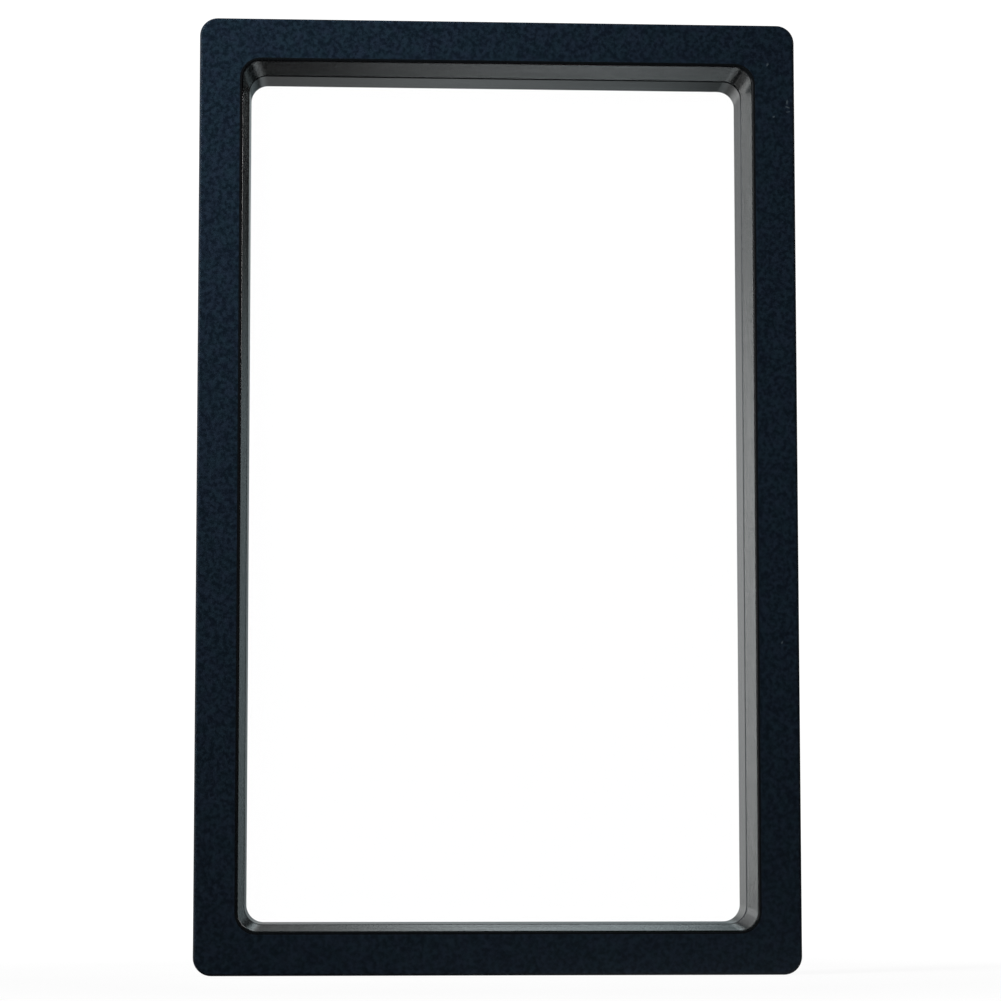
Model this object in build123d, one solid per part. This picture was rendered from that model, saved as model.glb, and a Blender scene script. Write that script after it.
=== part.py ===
from build123d import *
import math
import os

# A floating display frame: two channel-section halves hinged like a book, each with a clear film.
# Upright, front towards -Y, width along X, resting on z = 0, centred on x = 0 and y = 0.

# Overall size when closed
frame_width = 140.0
frame_height = 222.7
frame_depth = 20.0
corner_radius = 4.2

# The opening: its border at the front, and how much it narrows on each side in each half
border_width = 10.1
front_taper = 1.45
rear_taper = 0.5
front_opening_radius = 4.3
middle_opening_radius = 4.15
rear_opening_radius = 4.0

# Walls and edges of the mouldings
face_wall = 1.6
outer_wall = 1.6
inner_wall = 1.5
edge_round = 0.8
seam_chamfer = 0.3
rim_chamfer = 0.2
parting_gap = 0.3

# Film and the ring that carries it
film_thickness = 0.2
film_margin = 0.3
ring_width = 2.4
ring_depth = 4.0
ring_clearance = 0.1

# Ribs on the channel floor, which the ring seats on
rib_thickness = 1.2
rib_pitch = 36.0

# Hinge on the left side
hinge_inset = 1.9
hinge_spacing = 130.0
barrel_radius = 1.8
knuckle_length = 6.0
knuckle_gap = 0.3
knuckle_clearance = 0.3
pin_radius = 0.75
pin_running_clearance = 0.05
pin_chamfer = 0.2
open_angle = 120.0
bevel_clearance = 0.15
hinge_wall = 2.6

# Snap tongues on the free side, locating tongues on the top and bottom rails
tongue_width = 14.0
tongue_thickness = 1.2
tongue_reach = 3.0
tongue_root = 6.0
tongue_clearance = 0.3
snap_spacing = 110.0
rail_tongue_offset = 30.0
bead_height = 0.2
bead_width = 0.8
bead_setback = 1.0
groove_depth = 0.4
groove_clearance = 0.4

# Finger notch at the seam of the free side
notch_length = 18.0
notch_depth = 1.0
notch_height = 1.4

# How close to a depth an edge has to lie to count as lying there
edge_tolerance = 0.01

# Places worked out from the sizes above
FRONT = -1
REAR = 1
middle_z = frame_height / 2
half_depth = frame_depth / 2
mate_offset = parting_gap / 2
rim_offset = mate_offset + film_thickness
floor_offset = half_depth - face_wall
axis_x = -frame_width / 2 + hinge_inset
wall_inner_x = frame_width / 2 - outer_wall
tongue_outer_x = wall_inner_x - tongue_clearance
opening_half_angle = math.radians(open_angle / 2)
bevel_reach = (hinge_inset + bevel_clearance) * math.tan(opening_half_angle)
hinge_centres = [middle_z - hinge_spacing / 2, middle_z + hinge_spacing / 2]
knuckle_pitch = knuckle_length + knuckle_gap
pin_length = 3 * knuckle_length + 2 * knuckle_gap


def outline(width, height, radius, y):
    """A rounded rectangle across the frame at depth y, centred on the opening."""
    plane = Plane(origin=(0, y, middle_z), x_dir=(1, 0, 0), z_dir=(0, -1, 0))
    return plane * RectangleRounded(width, height, radius)


def slab(width, height, radius, y_from, y_to):
    """A straight rounded slab between two depths."""
    return extrude(outline(width, height, radius, y_from), amount=y_from - y_to)


def tapered_slab(grow, y_from, y_to, first, second):
    """A slab whose width, height and corner radius run from one opening size to another."""
    sections = []
    for y, (width, height, radius) in ((y_from, first), (y_to, second)):
        sections.append(outline(width + 2 * grow, height + 2 * grow, radius + grow, y))
    return loft(sections, ruled=True)


def block(x_range, y_range, z_range):
    """A box between two values on each axis."""
    sizes = [abs(b - a) for a, b in (x_range, y_range, z_range)]
    centre = [(a + b) / 2 for a, b in (x_range, y_range, z_range)]
    return Pos(*centre) * Box(*sizes)


def post(radius, z_from, z_to):
    """An upright cylinder on the hinge axis."""
    return Pos(axis_x, 0, (z_from + z_to) / 2) * Cylinder(radius, z_to - z_from)


def shrunk_opening(shrink, radius):
    """Width, height and corner radius of the opening, narrowed on every side from the front."""
    width = frame_width - 2 * (border_width + shrink)
    height = frame_height - 2 * (border_width + shrink)
    return width, height, radius


def face_opening(side):
    """The opening where it meets the outer face of a half."""
    if side == FRONT:
        return shrunk_opening(0, front_opening_radius)
    return shrunk_opening(front_taper + rear_taper, rear_opening_radius)


def middle_opening():
    """The opening where the two halves meet."""
    return shrunk_opening(front_taper, middle_opening_radius)


def wall_spread(side, depth_offset):
    """How far the channel side of the inner wall has spread from the seam, at a depth."""
    if side == REAR:
        return 0.0
    return front_taper * (depth_offset - mate_offset) / (half_depth - mate_offset)


def channel(side):
    """The hollow between the outer wall, thicker on the hinge side, and the inner wall of a half."""
    width, height, radius = middle_opening()
    spread = wall_spread(side, floor_offset)
    floor_size = (width + 2 * spread, height + 2 * spread, radius + spread)
    y_floor = side * floor_offset
    y_mate = side * mate_offset
    hollow = slab(
        frame_width - 2 * outer_wall,
        frame_height - 2 * outer_wall,
        corner_radius - outer_wall,
        y_floor,
        y_mate,
    )
    hollow -= tapered_slab(inner_wall, y_floor, y_mate, floor_size, middle_opening())
    thick_range = (-frame_width / 2, -frame_width / 2 + hinge_wall)
    return hollow - block(thick_range, (y_floor, y_mate), (0, frame_height))


def rib_places(length):
    """Evenly spaced places along one side of the opening, centred on it."""
    count = max(1, int((length - rib_pitch / 2) // rib_pitch))
    return [(i - (count - 1) / 2) * rib_pitch for i in range(count)]


def ribs(side, hollow):
    """Low cross walls on the channel floor, up to the underside of the ring."""
    y_range = (side * floor_offset, side * (rim_offset + ring_depth))
    width, height, _ = middle_opening()
    half_rib = rib_thickness / 2
    bars = []
    for place in rib_places(height):
        z = middle_z + place
        bars.append(block((-frame_width / 2, frame_width / 2), y_range, (z - half_rib, z + half_rib)))
    for x in rib_places(width):
        bars.append(block((x - half_rib, x + half_rib), y_range, (0, frame_height)))
    return [hollow & bar for bar in bars]


def knuckle_spans(side):
    """The height ranges of a half's knuckles: one in front, one each side of it at the rear."""
    steps = [0] if side == FRONT else [-1, 1]
    spans = []
    for centre in hinge_centres:
        for step in steps:
            z = centre + step * knuckle_pitch
            spans.append((z - knuckle_length / 2, z + knuckle_length / 2))
    return spans


def knuckle_root(side, span):
    """The block that joins a knuckle to the face and outer wall of its half."""
    x_range = (axis_x - hinge_inset + outer_wall / 2, axis_x + barrel_radius)
    y_range = (side * (half_depth - face_wall / 2), side * (bevel_reach + bevel_clearance))
    return block(x_range, y_range, span)


def knuckle(side, span):
    """The barrel and the neck that carries it."""
    neck = block((axis_x, axis_x + barrel_radius), (0, side * floor_offset), span)
    return neck + post(barrel_radius, *span)


def hinge_bevel():
    """The V along the hinge side that lets the halves open to their limit."""
    apex_x = axis_x + bevel_clearance
    far_x = -frame_width / 2 - border_width
    far_y = (apex_x - far_x) * math.tan(opening_half_angle)
    corners = [(apex_x, 0), (far_x, far_y), (far_x, -far_y)]
    return extrude(make_face(Polyline(*corners, close=True)), amount=frame_height)


def snap_centres():
    """Heights of the snap tongues on the free side."""
    return [middle_z - snap_spacing / 2, middle_z + snap_spacing / 2]


def snap_tongue(z):
    """A tongue that reaches from the front half into the rear half's channel, with its bead."""
    z_range = (z - tongue_width / 2, z + tongue_width / 2)
    inner_x = tongue_outer_x - tongue_thickness
    root = block((inner_x, wall_inner_x + outer_wall / 2), (-tongue_root, -mate_offset), z_range)
    blade = block((inner_x, tongue_outer_x), (-tongue_root, tongue_reach), z_range)
    bead_y = tongue_reach - bead_setback
    corners = [
        (tongue_outer_x, bead_y - bead_width / 2),
        (tongue_outer_x + bead_height, bead_y),
        (tongue_outer_x, bead_y + bead_width / 2),
    ]
    section = Plane.XY.offset(z_range[0]) * make_face(Polyline(*corners, close=True))
    return root + blade + extrude(section, amount=tongue_width)


def snap_groove(z):
    """The groove in the rear half's outer wall that faces the bead."""
    reach = tongue_width / 2 + groove_clearance
    bead_y = tongue_reach - bead_setback
    half_groove = bead_width / 2 + groove_clearance
    y_range = (bead_y - half_groove, bead_y + half_groove)
    return block((wall_inner_x - groove_depth, wall_inner_x + groove_depth), y_range, (z - reach, z + reach))


def rail_tongue(end):
    """A plain tongue on the top or bottom rail that keeps the halves in line."""
    wall_z = middle_z + end * (frame_height / 2 - outer_wall)
    outer_z = wall_z - end * tongue_clearance
    inner_z = outer_z - end * tongue_thickness
    x_range = (rail_tongue_offset - tongue_width / 2, rail_tongue_offset + tongue_width / 2)
    root = block(x_range, (-tongue_root, -mate_offset), (inner_z, wall_z + end * outer_wall / 2))
    return root + block(x_range, (-tongue_root, tongue_reach), (inner_z, outer_z))


def finger_notch():
    """A V at the seam of the free side for a fingernail."""
    edge_x = frame_width / 2
    slope = notch_height / notch_depth
    far_x = edge_x + notch_depth
    far_y = slope * (far_x - edge_x + notch_depth)
    corners = [(edge_x - notch_depth, 0), (far_x, far_y), (far_x, -far_y)]
    section = Plane.XY.offset(middle_z - notch_length / 2) * make_face(Polyline(*corners, close=True))
    return extrude(section, amount=notch_length)


def rim_bevel(side):
    """What the bevel takes off the inner wall's rim, on the side of the opening."""
    width, height, radius = middle_opening()
    wide = (width + 2 * rim_chamfer, height + 2 * rim_chamfer, radius + rim_chamfer)
    y_rim = side * rim_offset
    return tapered_slab(0, y_rim, y_rim + side * rim_chamfer, wide, middle_opening())


def edges_at(solid, y):
    """The edges that lie across the frame at one depth."""
    return solid.edges().filter_by_position(Axis.Y, y - edge_tolerance, y + edge_tolerance)


def shell(side):
    """A half's outside: slab, rounded face edges, chamfered seam and the tapered opening."""
    y_face = side * half_depth
    y_mate = side * mate_offset
    body = slab(frame_width, frame_height, corner_radius, y_face, y_mate)
    body = chamfer(edges_at(body, y_mate), seam_chamfer)
    body -= tapered_slab(0, y_face, y_mate, face_opening(side), middle_opening())
    return fillet(edges_at(body, y_face), edge_round)


def ring_inner(side):
    """The hole in a ring: the inner wall at the ring's deep side, with its clearance."""
    width, height, radius = middle_opening()
    grow = inner_wall + wall_spread(side, rim_offset + ring_depth) + ring_clearance
    return width + 2 * grow, height + 2 * grow, radius + grow


def ring_outer(side):
    """The outside of a ring."""
    width, height, radius = ring_inner(side)
    return width + 2 * ring_width, height + 2 * ring_width, radius + ring_width


def frame_half(side):
    """One moulded half with its ribs, knuckles and snap features."""
    hollow = channel(side)
    body = shell(side) - hollow
    body -= slab(*ring_outer(side), side * rim_offset, side * mate_offset)
    body -= rim_bevel(side)
    for rib in ribs(side, hollow):
        body += rib
    for span in knuckle_spans(side):
        body += knuckle_root(side, span)
    body -= hinge_bevel()
    for z_from, z_to in knuckle_spans(-side):
        pocket_radius = barrel_radius + knuckle_clearance
        body -= post(pocket_radius, z_from - knuckle_clearance, z_to + knuckle_clearance)
    for span in knuckle_spans(side):
        body += knuckle(side, span)
    hole_radius = pin_radius + pin_running_clearance if side == FRONT else pin_radius
    for span in knuckle_spans(side):
        body -= post(hole_radius, *span)
    if side == FRONT:
        for z in snap_centres():
            body += snap_tongue(z)
        for end in (-1, 1):
            body += rail_tongue(end)
    else:
        for z in snap_centres():
            body -= snap_groove(z)
    return body - finger_notch()


def film_ring(side):
    """The ring that sits in the channel round the inner wall."""
    y_range = (side * (rim_offset + ring_depth), side * rim_offset)
    return slab(*ring_outer(side), *y_range) - slab(*ring_inner(side), *y_range)


def film(side):
    """The film, flat on the inner wall's rim and on the ring."""
    width, height, radius = ring_outer(side)
    return slab(
        width - 2 * film_margin,
        height - 2 * film_margin,
        radius - film_margin,
        side * rim_offset,
        side * mate_offset,
    )


def hinge_pin(centre):
    """A pin through the three knuckles of one hinge."""
    pin = post(pin_radius, centre - pin_length / 2, centre + pin_length / 2)
    return chamfer(pin.edges().filter_by(GeomType.CIRCLE), pin_chamfer)


nodes = {
    "front_frame": frame_half(FRONT),
    "rear_frame": frame_half(REAR),
    "front_film_ring": film_ring(FRONT),
    "rear_film_ring": film_ring(REAR),
    "front_film": film(FRONT),
    "rear_film": film(REAR),
    "lower_hinge_pin": hinge_pin(hinge_centres[0]),
    "upper_hinge_pin": hinge_pin(hinge_centres[1]),
}

os.makedirs("parts", exist_ok=True)
for name, solid in nodes.items():
    export_step(solid, f"parts/{name}.step")
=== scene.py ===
import math

import bpy
from mathutils import Matrix, Vector


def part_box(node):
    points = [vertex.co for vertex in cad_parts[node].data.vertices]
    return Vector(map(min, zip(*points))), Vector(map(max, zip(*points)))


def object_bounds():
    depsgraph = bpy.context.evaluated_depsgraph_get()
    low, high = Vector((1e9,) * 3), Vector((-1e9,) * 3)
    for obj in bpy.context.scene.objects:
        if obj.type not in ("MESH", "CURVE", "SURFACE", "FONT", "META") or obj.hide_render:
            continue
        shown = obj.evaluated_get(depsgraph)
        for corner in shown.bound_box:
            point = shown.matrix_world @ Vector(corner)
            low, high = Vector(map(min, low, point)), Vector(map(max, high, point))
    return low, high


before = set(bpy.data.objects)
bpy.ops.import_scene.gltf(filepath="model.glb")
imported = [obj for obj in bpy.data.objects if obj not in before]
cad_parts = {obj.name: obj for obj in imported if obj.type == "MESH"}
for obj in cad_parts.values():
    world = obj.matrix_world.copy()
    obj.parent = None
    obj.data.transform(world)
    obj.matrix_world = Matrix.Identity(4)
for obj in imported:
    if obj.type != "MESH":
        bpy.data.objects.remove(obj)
cad_low, cad_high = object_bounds()

MM = 0.001

# The closed case, from the frame
CENTRE = (Vector(cad_low) + Vector(cad_high)) / 2
HALF_WIDTH = cad_high[0]
HALF_HEIGHT = CENTRE.z
HALF_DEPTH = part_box("rear_frame")[1][1]

# Outlines of the frame and of its opening at the front and rear faces: inset from outside, corner radius
OUTSIDE = (0.0, 4.2 * MM)
FRONT_OPENING = (10.1 * MM, 4.3 * MM)
REAR_OPENING = (12.05 * MM, 4.0 * MM)
FILM_OPENING = (11.55 * MM, 4.15 * MM)
EDGE_ROUND = 0.8 * MM

# Where the grain sets in: depth from the middle, distance past the outside, distance past the opening
GRAIN_DEPTH = (HALF_DEPTH - 1.1 * MM, HALF_DEPTH - 0.9 * MM)
GRAIN_SIDE = (-0.6 * MM, -0.4 * MM)
GRAIN_BORDER = (EDGE_ROUND - 0.15 * MM, EDGE_ROUND)

# Where the walls of the opening end and painted shade on the rounded edges and in the channel begins:
# depth from the middle, distance past the opening
WALL_DEPTH = (9.1 * MM, 9.25 * MM)
WALL_BORDER = (0.6 * MM, 0.9 * MM)

# Small scuffs on the front face: x, z, turn from level in degrees, half length, half width
SCUFFS = (
    (68.2, 204.2, 85, 0.75, 0.3),
    (68.3, 203.0, -20, 0.8, 0.25),
    (68.4, 201.9, 10, 0.6, 0.2),
    (63.6, 213.2, 70, 0.5, 0.3),
    (65.0, 200.7, 30, 0.4, 0.25),
    (65.9, 76.6, 60, 0.5, 0.25),
)
SCUFF_FADE = (0.3, 1.0)
SCUFF_GRAIN = (0.3, 0.6)
SCUFF_SHARES = (0.3, 0.9)

# Noises: scale, detail, roughness
SPECKLE = (1000, 3.0, 0.6)
PATCHES = (280, 2.0, 0.5)
GRAIN = (1500, 4.0, 0.6)
FLOW_LINES = (900, 2.0, 0.5)
RING_MOTTLE = (350, 3.0, 0.5)
FILM_HAZE = (90, 2.0, 0.5)
FILM_RIPPLE = (14, 1.0, 0.4)
STEEL_LINES = (6000, 2.0, 0.5)

# Parts of a noise's span that a colour or a roughness runs over
SPECKLE_SPAN = (0.39, 0.61)
PATCH_SPAN = (0.4, 0.6)
MOTTLE_SPAN = (0.35, 0.65)
ROUGH_SPAN = (0.3, 0.7)

# Turn that keeps the faces off the planes of the noise's grid, and stretches of the lines
GRAIN_TURN = (0.6, 0.4, 0.9)
FLOW_STRETCH = (0.04, 1.0, 0.04)
STEEL_STRETCH = (1.0, 1.0, 0.05)

# Colours
DARK_TEAL = (0.0031, 0.0074, 0.0124)
DARK_VIOLET = (0.0036, 0.0069, 0.0130)
LIGHT_TEAL = (0.0084, 0.0176, 0.0272)
LIGHT_VIOLET = (0.0094, 0.0166, 0.0284)
SCUFF_COLOUR = (0.065, 0.085, 0.100)
WALL_COLOURS = ((0.012, 0.016, 0.017), (0.019, 0.023, 0.024))
# Near-black painted shade on the rounded edges of the opening and inside the channel, darker than the
# walls
PAINTED_EDGE_AND_CHANNEL_SHADE = (0.004, 0.005, 0.006)
RING_COLOURS = ((0.008, 0.009, 0.010), (0.014, 0.015, 0.016))
FILM_COLOURS = ((0.12, 0.13, 0.14), (0.17, 0.18, 0.19))
STEEL_COLOURS = ((0.42, 0.42, 0.43), (0.62, 0.62, 0.64))
STAGE_COLOUR = (0.5, 0.5, 0.5)
WHITE = (1.0, 1.0, 1.0)

# Roughness, gloss and bumps
WALL_ROUGH = (0.18, 0.24)
FACE_ROUGH = (0.4, 0.52)
RING_ROUGH = (0.34, 0.44)
FILM_ROUGH = (0.04, 0.09)
STEEL_ROUGH = (0.22, 0.38)
PLASTIC_GLOSS = 0.36
GRAIN_HEIGHT = 0.03 * MM
GRAIN_STRENGTHS = (0.03, 0.8)
RIPPLE_HEIGHT = 0.3 * MM
RIPPLE_STRENGTH = 0.25

# How opaque the film is: seen straight and at a slant, and where it is bonded
FILM_ALPHAS = (0.025, 0.4)
BONDED_ALPHA = 0.5
BOND_EDGE = (-0.1 * MM, 0.0)
SLANT_BLEND = 0.3

# Camera, as fitted to the photograph's edges
CAMERA_FROM_CENTRE = Vector((-51.86, -839.67, -87.70)) * MM
CAMERA_RIGHT = Vector((0.99803, -0.06275, -0.00078))
CAMERA_UP = Vector((-0.00566, -0.10241, 0.99473))
LENS_MM = 129.5
SENSOR_MM = 36.0

# Light that falls on things, and the dim room that gloss shows in front
WORLD_LEVEL = 0.1
ROOM_LEVEL = 0.04
KEY = {
    "location": (-0.32, -0.32, 0.44),
    "aim": (-0.06, 0, 0.2),
    "size": 0.2,
    "power": 0.55,
    "spread": 56,
    "in_gloss": False,
}
FILL = {"location": (0.75, -0.6, 0.35), "size": 0.6, "power": 0.08}
SIDE = {"location": (-1.1, -0.15, 0.3), "size": 0.7, "power": 1.8}
BACK = {"location": (0.8, 0.75, 0.6), "size": 0.6, "power": 3.0}
WIDEST_SPREAD = 180

# Stage
BACKDROP_Y = 1.6
STAGE_SIZE = 12.0
SEEN_WHITE = 1.1
SHADOW_SHARE = 0.15
SHADOW_REACH = (0.12, 0.4)

# Levels that gloss shows of the floor and the backdrop, from left to right: share of the way, grey
FLOOR_NEAR = (
    (0.0, 0.0), (0.13, 0.0), (0.2, 0.06), (0.3, 0.36),
    (0.4, 0.6), (0.5, 0.82), (0.67, 0.94), (0.9, 0.55),
)
FLOOR_FAR = (
    (0.0, 0.25), (0.1, 0.27), (0.3, 0.44), (0.5, 0.62),
    (0.65, 0.56), (0.9, 0.5), (1.0, 0.1),
)
BACKDROP_LOW = (
    (0.0, 1.25), (0.15, 1.25), (0.36, 0.72), (0.57, 0.5),
    (0.72, 0.34), (0.8, 0.27), (1.0, 0.22),
)
BACKDROP_HIGH = (
    (0.0, 0.8), (0.36, 0.5), (0.48, 0.0), (0.56, 0.24),
    (0.64, 0.84), (0.72, 0.76), (0.78, 0.2), (0.8, 0.0),
)

# The floor in gloss: the middle strip's width, and how far back each of its bands changes to the next
MIDDLE_X = (-0.08, 0.14)
NEAR_END_Y = (0.405, 0.43)
FAR_START_Y = (0.55, 0.6)
BETWEEN_X = (0.02, 0.06)
BETWEEN_LEVELS = (0.3, 0.02)

# The floor in gloss beside the middle strip, and in front of the case
LEFT_END_X = (-0.12, -0.085)
RIGHT_START_X = (0.13, 0.17)
SIDES_Y = (0.9, 1.3)
LEFT_LEVELS = (0.32, 1.2)
RIGHT_LEVELS = (0.04, 0.14)
FRONT_END_Y = (-0.05, 0.1)
FRONT_LEVEL = 0.04

# The backdrop in gloss: its width, its darker foot, the heights where low changes to high
BACKDROP_X = (-0.8, 0.6)
FOOT_Z = (0.0, 0.2)
FOOT_LEVELS = (0.85, 1.0)
HIGH_START_Z = (0.34, 0.47)

# Tints of what gloss shows, at the left and at the right
LEFT_TINT = (0.98, 1.0, 1.0)
RIGHT_TINT = (0.8, 1.0, 1.06)
TINT_X = (-0.1, 0.35)


def new_tree(mat):
    """A material's empty node tree with its output."""
    mat.use_nodes = True
    tree = mat.node_tree
    tree.nodes.clear()
    return tree, tree.nodes.new("ShaderNodeOutputMaterial")


def new_material(name):
    """A node material, its tree and its one shader."""
    mat = bpy.data.materials.new(name)
    tree, out = new_tree(mat)
    shader = tree.nodes.new("ShaderNodeBsdfPrincipled")
    tree.links.new(shader.outputs["BSDF"], out.inputs["Surface"])
    return mat, tree, shader


def object_place(tree):
    """The place on the object at rest."""
    return tree.nodes.new("ShaderNodeTexCoord").outputs["Object"]


def feed(tree, value, socket):
    """Links a socket, or sets a number or colour."""
    if isinstance(value, bpy.types.NodeSocket):
        tree.links.new(value, socket)
    elif isinstance(value, tuple):
        socket.default_value = (*value, 1)
    else:
        socket.default_value = value


def add_math(tree, operation, first, second=0.0):
    """A math node on two values, each a socket or a number."""
    node = tree.nodes.new("ShaderNodeMath")
    node.operation = operation
    feed(tree, first, node.inputs[0])
    feed(tree, second, node.inputs[1])
    return node.outputs[0]


def add_range(tree, value, span, to_span=(0.0, 1.0)):
    """Maps a value's span to another one, clamped."""
    node = tree.nodes.new("ShaderNodeMapRange")
    names = ("Value", "From Min", "From Max", "To Min", "To Max")
    for name, number in zip(names, (value, *span, *to_span)):
        feed(tree, number, node.inputs[name])
    return node.outputs["Result"]


def add_mix(tree, factor, first, second):
    """A colour between two colours."""
    node = tree.nodes.new("ShaderNodeMix")
    node.data_type = "RGBA"
    for value, socket in ((factor, 0), (first, 6), (second, 7)):
        feed(tree, value, node.inputs[socket])
    return node.outputs[2]


def add_blend(tree, factor, first, second):
    """A number between two numbers."""
    node = tree.nodes.new("ShaderNodeMix")
    for value, socket in ((factor, 0), (first, 2), (second, 3)):
        feed(tree, value, node.inputs[socket])
    return node.outputs[0]


def add_noise(tree, place, kind):
    """Noise in the object's own space."""
    noise = tree.nodes.new("ShaderNodeTexNoise")
    for name, number in zip(("Scale", "Detail", "Roughness"), kind):
        noise.inputs[name].default_value = number
    tree.links.new(place, noise.inputs["Vector"])
    return noise.outputs["Fac"]


def add_bump(tree, shader, height, distance, strength):
    """Bumps the shader's surface."""
    bump = tree.nodes.new("ShaderNodeBump")
    bump.inputs["Distance"].default_value = distance
    feed(tree, strength, bump.inputs["Strength"])
    tree.links.new(height, bump.inputs["Height"])
    tree.links.new(bump.outputs["Normal"], shader.inputs["Normal"])


def map_place(tree, place, kind="POINT", **settings):
    """The place moved, turned or scaled."""
    node = tree.nodes.new("ShaderNodeMapping")
    node.vector_type = kind
    for name, value in settings.items():
        node.inputs[name].default_value = value
    tree.links.new(place, node.inputs["Vector"])
    return node.outputs["Vector"]


def add_length(tree, place):
    """The length of a vector."""
    node = tree.nodes.new("ShaderNodeVectorMath")
    node.operation = "LENGTH"
    tree.links.new(place, node.inputs[0])
    return node.outputs["Value"]


def split_place(tree, place):
    """The place's three values."""
    node = tree.nodes.new("ShaderNodeSeparateXYZ")
    tree.links.new(place, node.inputs[0])
    return node.outputs["X"], node.outputs["Y"], node.outputs["Z"]


def past_outline(tree, place, outline):
    """How far a place lies outside a rounded outline, seen from the front."""
    inset, radius = outline
    x, _, z = split_place(tree, place)
    up = add_math(tree, "SUBTRACT", z, CENTRE.z)
    squares = []
    for value, half in ((x, HALF_WIDTH), (up, HALF_HEIGHT)):
        beyond = add_math(tree, "SUBTRACT", add_math(tree, "ABSOLUTE", value), half - inset - radius)
        squares.append(add_math(tree, "POWER", add_math(tree, "MAXIMUM", beyond, 0.0), 2.0))
    return add_math(tree, "SUBTRACT", add_math(tree, "SQRT", add_math(tree, "ADD", *squares)), radius)


def depth_from_middle(tree, place):
    """How far a place lies in front of or behind the seam."""
    return add_math(tree, "ABSOLUTE", split_place(tree, place)[1])


def textured_share(tree, place, opening):
    """1 on the grained outside, 0 on the smooth walls of the opening and inside the channel."""
    face = add_range(tree, depth_from_middle(tree, place), GRAIN_DEPTH)
    side = add_range(tree, past_outline(tree, place, OUTSIDE), GRAIN_SIDE)
    clear_of_opening = add_range(tree, past_outline(tree, place, opening), GRAIN_BORDER)
    return add_math(tree, "MULTIPLY", add_math(tree, "MAXIMUM", face, side), clear_of_opening)


def wall_share(tree, place, opening):
    """1 on the walls of the opening between its rounded edges, else 0, where painted shade goes."""
    between_edges = add_range(tree, depth_from_middle(tree, place), WALL_DEPTH, (1.0, 0.0))
    at_opening = add_range(tree, past_outline(tree, place, opening), WALL_BORDER, (1.0, 0.0))
    return add_math(tree, "MULTIPLY", between_edges, at_opening)


def grained_colour(tree, place):
    """Blue-black with fine speckle, and faint teal and violet patches a few millimetres wide."""
    place = map_place(tree, place, Rotation=GRAIN_TURN)
    speckle = add_range(tree, add_noise(tree, place, SPECKLE), SPECKLE_SPAN)
    patches = add_range(tree, add_noise(tree, place, PATCHES), PATCH_SPAN)
    dark = add_mix(tree, patches, DARK_TEAL, DARK_VIOLET)
    light = add_mix(tree, patches, LIGHT_TEAL, LIGHT_VIOLET)
    return add_mix(tree, speckle, dark, light)


def scuff_share(tree, place):
    """1 in the middle of each scuff, falling to 0 at its rim."""
    total = 0.0
    for x, z, turn, half_length, half_width in SCUFFS:
        mark = map_place(
            tree,
            place,
            kind="TEXTURE",
            Location=(x * MM, -HALF_DEPTH, z * MM),
            Rotation=(0, math.radians(-turn), 0),
            Scale=(half_length * MM, MM, half_width * MM),
        )
        share = add_range(tree, add_length(tree, mark), SCUFF_FADE, (1.0, 0.0))
        total = add_math(tree, "MAXIMUM", total, share)
    return total


def frame_plastic(name, opening, scuffed=False):
    """Black moulded plastic: grained outside, smooth in the opening, with faint flow lines, and
    near-black painted shade on the rounded edges of the opening and in the channel.
    """
    mat, tree, shader = new_material(name)
    place = object_place(tree)
    textured = textured_share(tree, place, opening)
    lines = add_noise(tree, map_place(tree, place, Scale=FLOW_STRETCH), FLOW_LINES)
    grain = add_noise(tree, place, GRAIN)
    wall = add_mix(tree, lines, *WALL_COLOURS)
    # Smooth colour: the walls, with near-black painted shade on the rounded edges and in the channel
    smooth = add_mix(tree, wall_share(tree, place, opening), PAINTED_EDGE_AND_CHANNEL_SHADE, wall)
    outside = grained_colour(tree, place)
    if scuffed:
        grain_share = add_range(tree, grain, SCUFF_GRAIN, SCUFF_SHARES)
        worn = add_math(tree, "MULTIPLY", scuff_share(tree, place), grain_share)
        outside = add_mix(tree, worn, outside, SCUFF_COLOUR)
    tree.links.new(add_mix(tree, textured, smooth, outside), shader.inputs["Base Color"])
    wall_rough = add_range(tree, lines, ROUGH_SPAN, WALL_ROUGH)
    face_rough = add_range(tree, grain, ROUGH_SPAN, FACE_ROUGH)
    tree.links.new(add_blend(tree, textured, wall_rough, face_rough), shader.inputs["Roughness"])
    shader.inputs["Specular IOR Level"].default_value = PLASTIC_GLOSS
    add_bump(tree, shader, grain, GRAIN_HEIGHT, add_blend(tree, textured, *GRAIN_STRENGTHS))
    return mat


def ring_plastic():
    """Smoother black plastic of the rings inside."""
    mat, tree, shader = new_material("ring_black_plastic")
    mottle = add_noise(tree, object_place(tree), RING_MOTTLE)
    colour = add_mix(tree, add_range(tree, mottle, MOTTLE_SPAN), *RING_COLOURS)
    tree.links.new(colour, shader.inputs["Base Color"])
    tree.links.new(add_range(tree, mottle, ROUGH_SPAN, RING_ROUGH), shader.inputs["Roughness"])
    return mat


def clear_film():
    """Thin clear film with a faint ripple, glossy at a slant, hazy where it is bonded on rim and ring."""
    mat, tree, shader = new_material("clear_film")
    place = object_place(tree)
    haze = add_noise(tree, place, FILM_HAZE)
    tree.links.new(add_mix(tree, haze, *FILM_COLOURS), shader.inputs["Base Color"])
    tree.links.new(add_range(tree, haze, ROUGH_SPAN, FILM_ROUGH), shader.inputs["Roughness"])
    slant = tree.nodes.new("ShaderNodeLayerWeight")
    slant.inputs["Blend"].default_value = SLANT_BLEND
    steep = add_math(tree, "POWER", slant.outputs["Facing"], 2.0)
    clear = add_range(tree, steep, (0.0, 1.0), FILM_ALPHAS)
    bonded = add_range(tree, past_outline(tree, place, FILM_OPENING), BOND_EDGE)
    tree.links.new(add_blend(tree, bonded, clear, BONDED_ALPHA), shader.inputs["Alpha"])
    add_bump(tree, shader, add_noise(tree, place, FILM_RIPPLE), RIPPLE_HEIGHT, RIPPLE_STRENGTH)
    return mat


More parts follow.
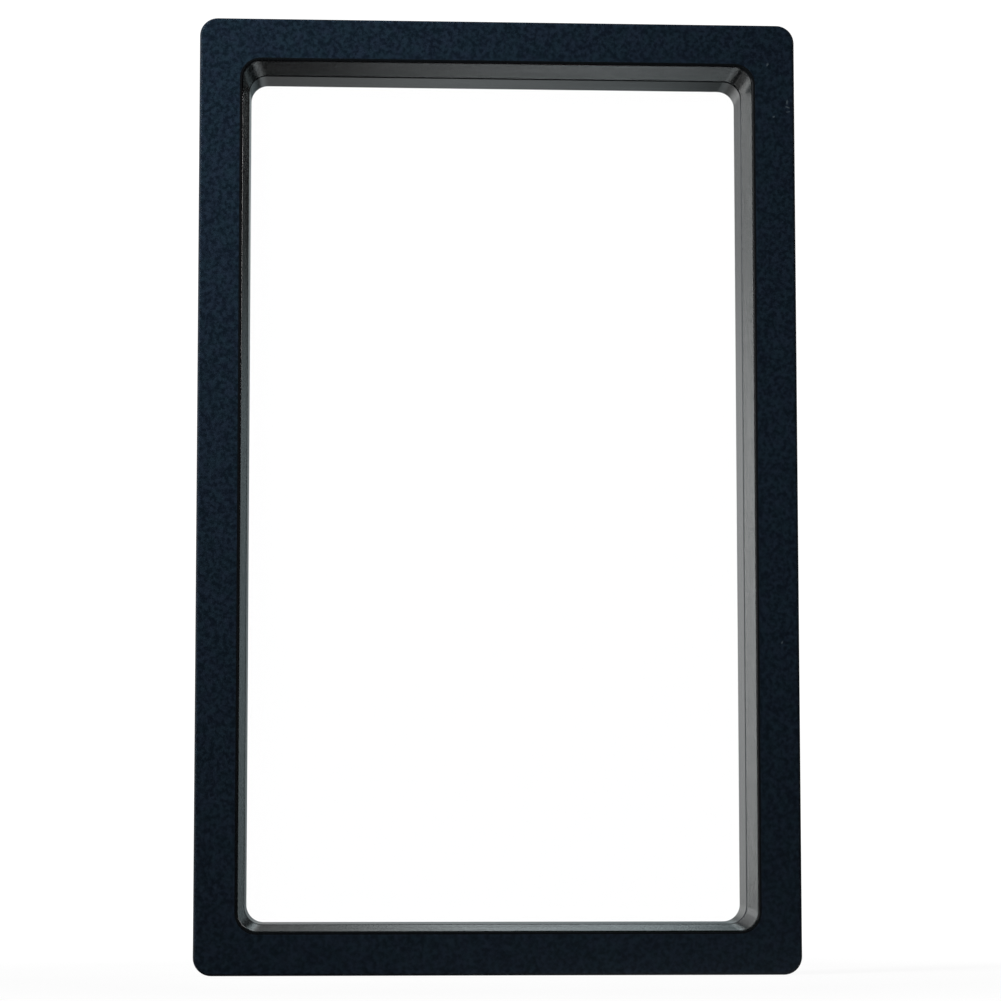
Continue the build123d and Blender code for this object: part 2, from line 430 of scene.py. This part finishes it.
def drawn_steel():
    """Steel pin with fine drawing lines along it."""
    mat, tree, shader = new_material("pin_steel")
    place = map_place(tree, object_place(tree), Scale=STEEL_STRETCH)
    lines = add_noise(tree, place, STEEL_LINES)
    tree.links.new(add_mix(tree, lines, *STEEL_COLOURS), shader.inputs["Base Color"])
    tree.links.new(add_range(tree, lines, ROUGH_SPAN, STEEL_ROUGH), shader.inputs["Roughness"])
    shader.inputs["Metallic"].default_value = 1.0
    return mat


def dress(node_names, mat):
    """Gives carried-over nodes their material."""
    for name in node_names:
        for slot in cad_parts[name].material_slots:
            slot.material = mat


def seen_by(tree):
    """1 for camera and transmission rays, and 1 for glossy rays, as two sockets."""
    path = tree.nodes.new("ShaderNodeLightPath")
    direct = add_math(tree, "MAXIMUM", path.outputs["Is Camera Ray"], path.outputs["Is Transmission Ray"])
    return direct, path.outputs["Is Glossy Ray"]


def steps(tree, value, span, levels):
    """A level that runs through stops, each a share of the way and a grey."""
    ramp = tree.nodes.new("ShaderNodeValToRGB")
    points = ramp.color_ramp.elements
    points[0].position = levels[0][0]
    points[1].position = levels[-1][0]
    for share, _ in levels[1:-1]:
        points.new(share)
    for point, (_, grey) in zip(points, levels):
        point.color = (grey, grey, grey, 1)
    tree.links.new(add_range(tree, value, span), ramp.inputs[0])
    return ramp.outputs["Color"]


def stage_surface(name, shadow_share, gloss_level):
    """Pale matt to light; white with a soft shadow where it is seen; its own level in gloss."""
    mat = bpy.data.materials.new(name)
    tree, out = new_tree(mat)
    place = object_place(tree)
    direct, glossy = seen_by(tree)
    matt = tree.nodes.new("ShaderNodeBsdfDiffuse")
    matt.inputs["Color"].default_value = (*STAGE_COLOUR, 1)
    glow = tree.nodes.new("ShaderNodeEmission")
    white = add_math(tree, "MULTIPLY", direct, SEEN_WHITE)
    level = add_math(tree, "MULTIPLY", glossy, gloss_level(tree, place))
    tint = add_mix(tree, add_range(tree, split_place(tree, place)[0], TINT_X), LEFT_TINT, RIGHT_TINT)
    tree.links.new(add_mix(tree, glossy, WHITE, tint), glow.inputs["Color"])
    tree.links.new(add_math(tree, "ADD", white, level), glow.inputs["Strength"])
    lit_share = add_math(tree, "SUBTRACT", 1.0, shadow_share(tree, place))
    direct_share = add_math(tree, "MULTIPLY", direct, lit_share)
    mix = tree.nodes.new("ShaderNodeMixShader")
    tree.links.new(add_math(tree, "ADD", direct_share, glossy), mix.inputs[0])
    tree.links.new(matt.outputs[0], mix.inputs[1])
    tree.links.new(glow.outputs[0], mix.inputs[2])
    tree.links.new(mix.outputs[0], out.inputs["Surface"])
    return mat


def floor_shadow(tree, place):
    """The share of real shading: some round the case, none far off."""
    return add_range(tree, add_length(tree, place), SHADOW_REACH, (SHADOW_SHARE, 0.0))


def no_shadow(tree, place):
    """No share of real shading."""
    return 0.0


def floor_gloss(tree, place):
    """What gloss shows of the floor: dim in front, two bands behind, and brighter at the far left."""
    x, y, _ = split_place(tree, place)
    near = steps(tree, x, MIDDLE_X, FLOOR_NEAR)
    far = steps(tree, x, MIDDLE_X, FLOOR_FAR)
    between = add_range(tree, x, BETWEEN_X, BETWEEN_LEVELS)
    middle = add_blend(tree, add_range(tree, y, NEAR_END_Y), near, between)
    middle = add_blend(tree, add_range(tree, y, FAR_START_Y), middle, far)
    left = add_range(tree, y, SIDES_Y, LEFT_LEVELS)
    right = add_range(tree, y, SIDES_Y, RIGHT_LEVELS)
    behind = add_blend(tree, add_range(tree, x, LEFT_END_X), left, middle)
    behind = add_blend(tree, add_range(tree, x, RIGHT_START_X), behind, right)
    return add_blend(tree, add_range(tree, y, FRONT_END_Y), FRONT_LEVEL, behind)


def backdrop_gloss(tree, place):
    """What gloss shows of the backdrop: bright at the left and dim at the right, and uneven high up."""
    x, up, _ = split_place(tree, place)
    low = steps(tree, x, BACKDROP_X, BACKDROP_LOW)
    high = steps(tree, x, BACKDROP_X, BACKDROP_HIGH)
    low = add_math(tree, "MULTIPLY", low, add_range(tree, up, FOOT_Z, FOOT_LEVELS))
    return add_blend(tree, add_range(tree, up, HIGH_START_Z), low, high)


def plane(name, location, tilt, mat):
    """A flat square of stage."""
    half = STAGE_SIZE / 2
    corners = [(-half, -half, 0), (half, -half, 0), (half, half, 0), (-half, half, 0)]
    mesh = bpy.data.meshes.new(name)
    mesh.from_pydata(corners, [], [(0, 1, 2, 3)])
    mesh.materials.append(mat)
    obj = bpy.data.objects.new(name, mesh)
    obj.location = location
    obj.rotation_euler = tilt
    bpy.context.scene.collection.objects.link(obj)


def make_stage():
    """White floor and backdrop."""
    floor = stage_surface("floor_white", floor_shadow, floor_gloss)
    backdrop = stage_surface("backdrop_white", no_shadow, backdrop_gloss)
    plane("floor", (0, 0, 0), (0, 0, 0), floor)
    plane("backdrop", (0, BACKDROP_Y, 0), (math.radians(90), 0, 0), backdrop)


def make_world():
    """White to the camera and through the film, a dim room in gloss, soft light on surfaces."""
    world = bpy.data.worlds.new("studio")
    bpy.context.scene.world = world
    world.use_nodes = True
    tree = world.node_tree
    tree.nodes.clear()
    out = tree.nodes.new("ShaderNodeOutputWorld")
    back = tree.nodes.new("ShaderNodeBackground")
    direct, glossy = seen_by(tree)
    room = add_blend(tree, glossy, WORLD_LEVEL, ROOM_LEVEL)
    tree.links.new(add_math(tree, "MAXIMUM", direct, room), back.inputs["Strength"])
    tree.links.new(back.outputs[0], out.inputs["Surface"])


def area_light(name, location, size, power, aim=CENTRE, spread=WIDEST_SPREAD, in_gloss=True):
    """A soft lamp aimed at the case."""
    data = bpy.data.lights.new(name, "AREA")
    data.shape = "SQUARE"
    data.size = size
    data.energy = power
    data.spread = math.radians(spread)
    lamp = bpy.data.objects.new(name, data)
    lamp.location = location
    lamp.rotation_mode = "QUATERNION"
    lamp.rotation_quaternion = (Vector(aim) - Vector(location)).to_track_quat("-Z", "Y")
    lamp.visible_glossy = in_gloss
    bpy.context.scene.collection.objects.link(lamp)


def make_camera():
    """The photograph's view."""
    data = bpy.data.cameras.new("camera")
    data.lens = LENS_MM
    data.sensor_width = SENSOR_MM
    camera = bpy.data.objects.new("camera", data)
    bpy.context.scene.collection.objects.link(camera)
    back = CAMERA_RIGHT.cross(CAMERA_UP).normalized()
    turn = Matrix((CAMERA_RIGHT, CAMERA_UP, back)).transposed()
    camera.matrix_world = Matrix.Translation(CENTRE + CAMERA_FROM_CENTRE) @ turn.to_4x4()
    bpy.context.scene.camera = camera


dress(["front_frame"], frame_plastic("front_black_plastic", FRONT_OPENING, scuffed=True))
dress(["rear_frame"], frame_plastic("rear_black_plastic", REAR_OPENING))
dress(["front_film_ring", "rear_film_ring"], ring_plastic())
dress(["front_film", "rear_film"], clear_film())
dress(["lower_hinge_pin", "upper_hinge_pin"], drawn_steel())

make_stage()
make_world()
area_light("key", **KEY)
area_light("fill", **FILL)
area_light("side", **SIDE)
area_light("back", **BACK)
make_camera()
bpy.context.scene.view_settings.view_transform = "Standard"
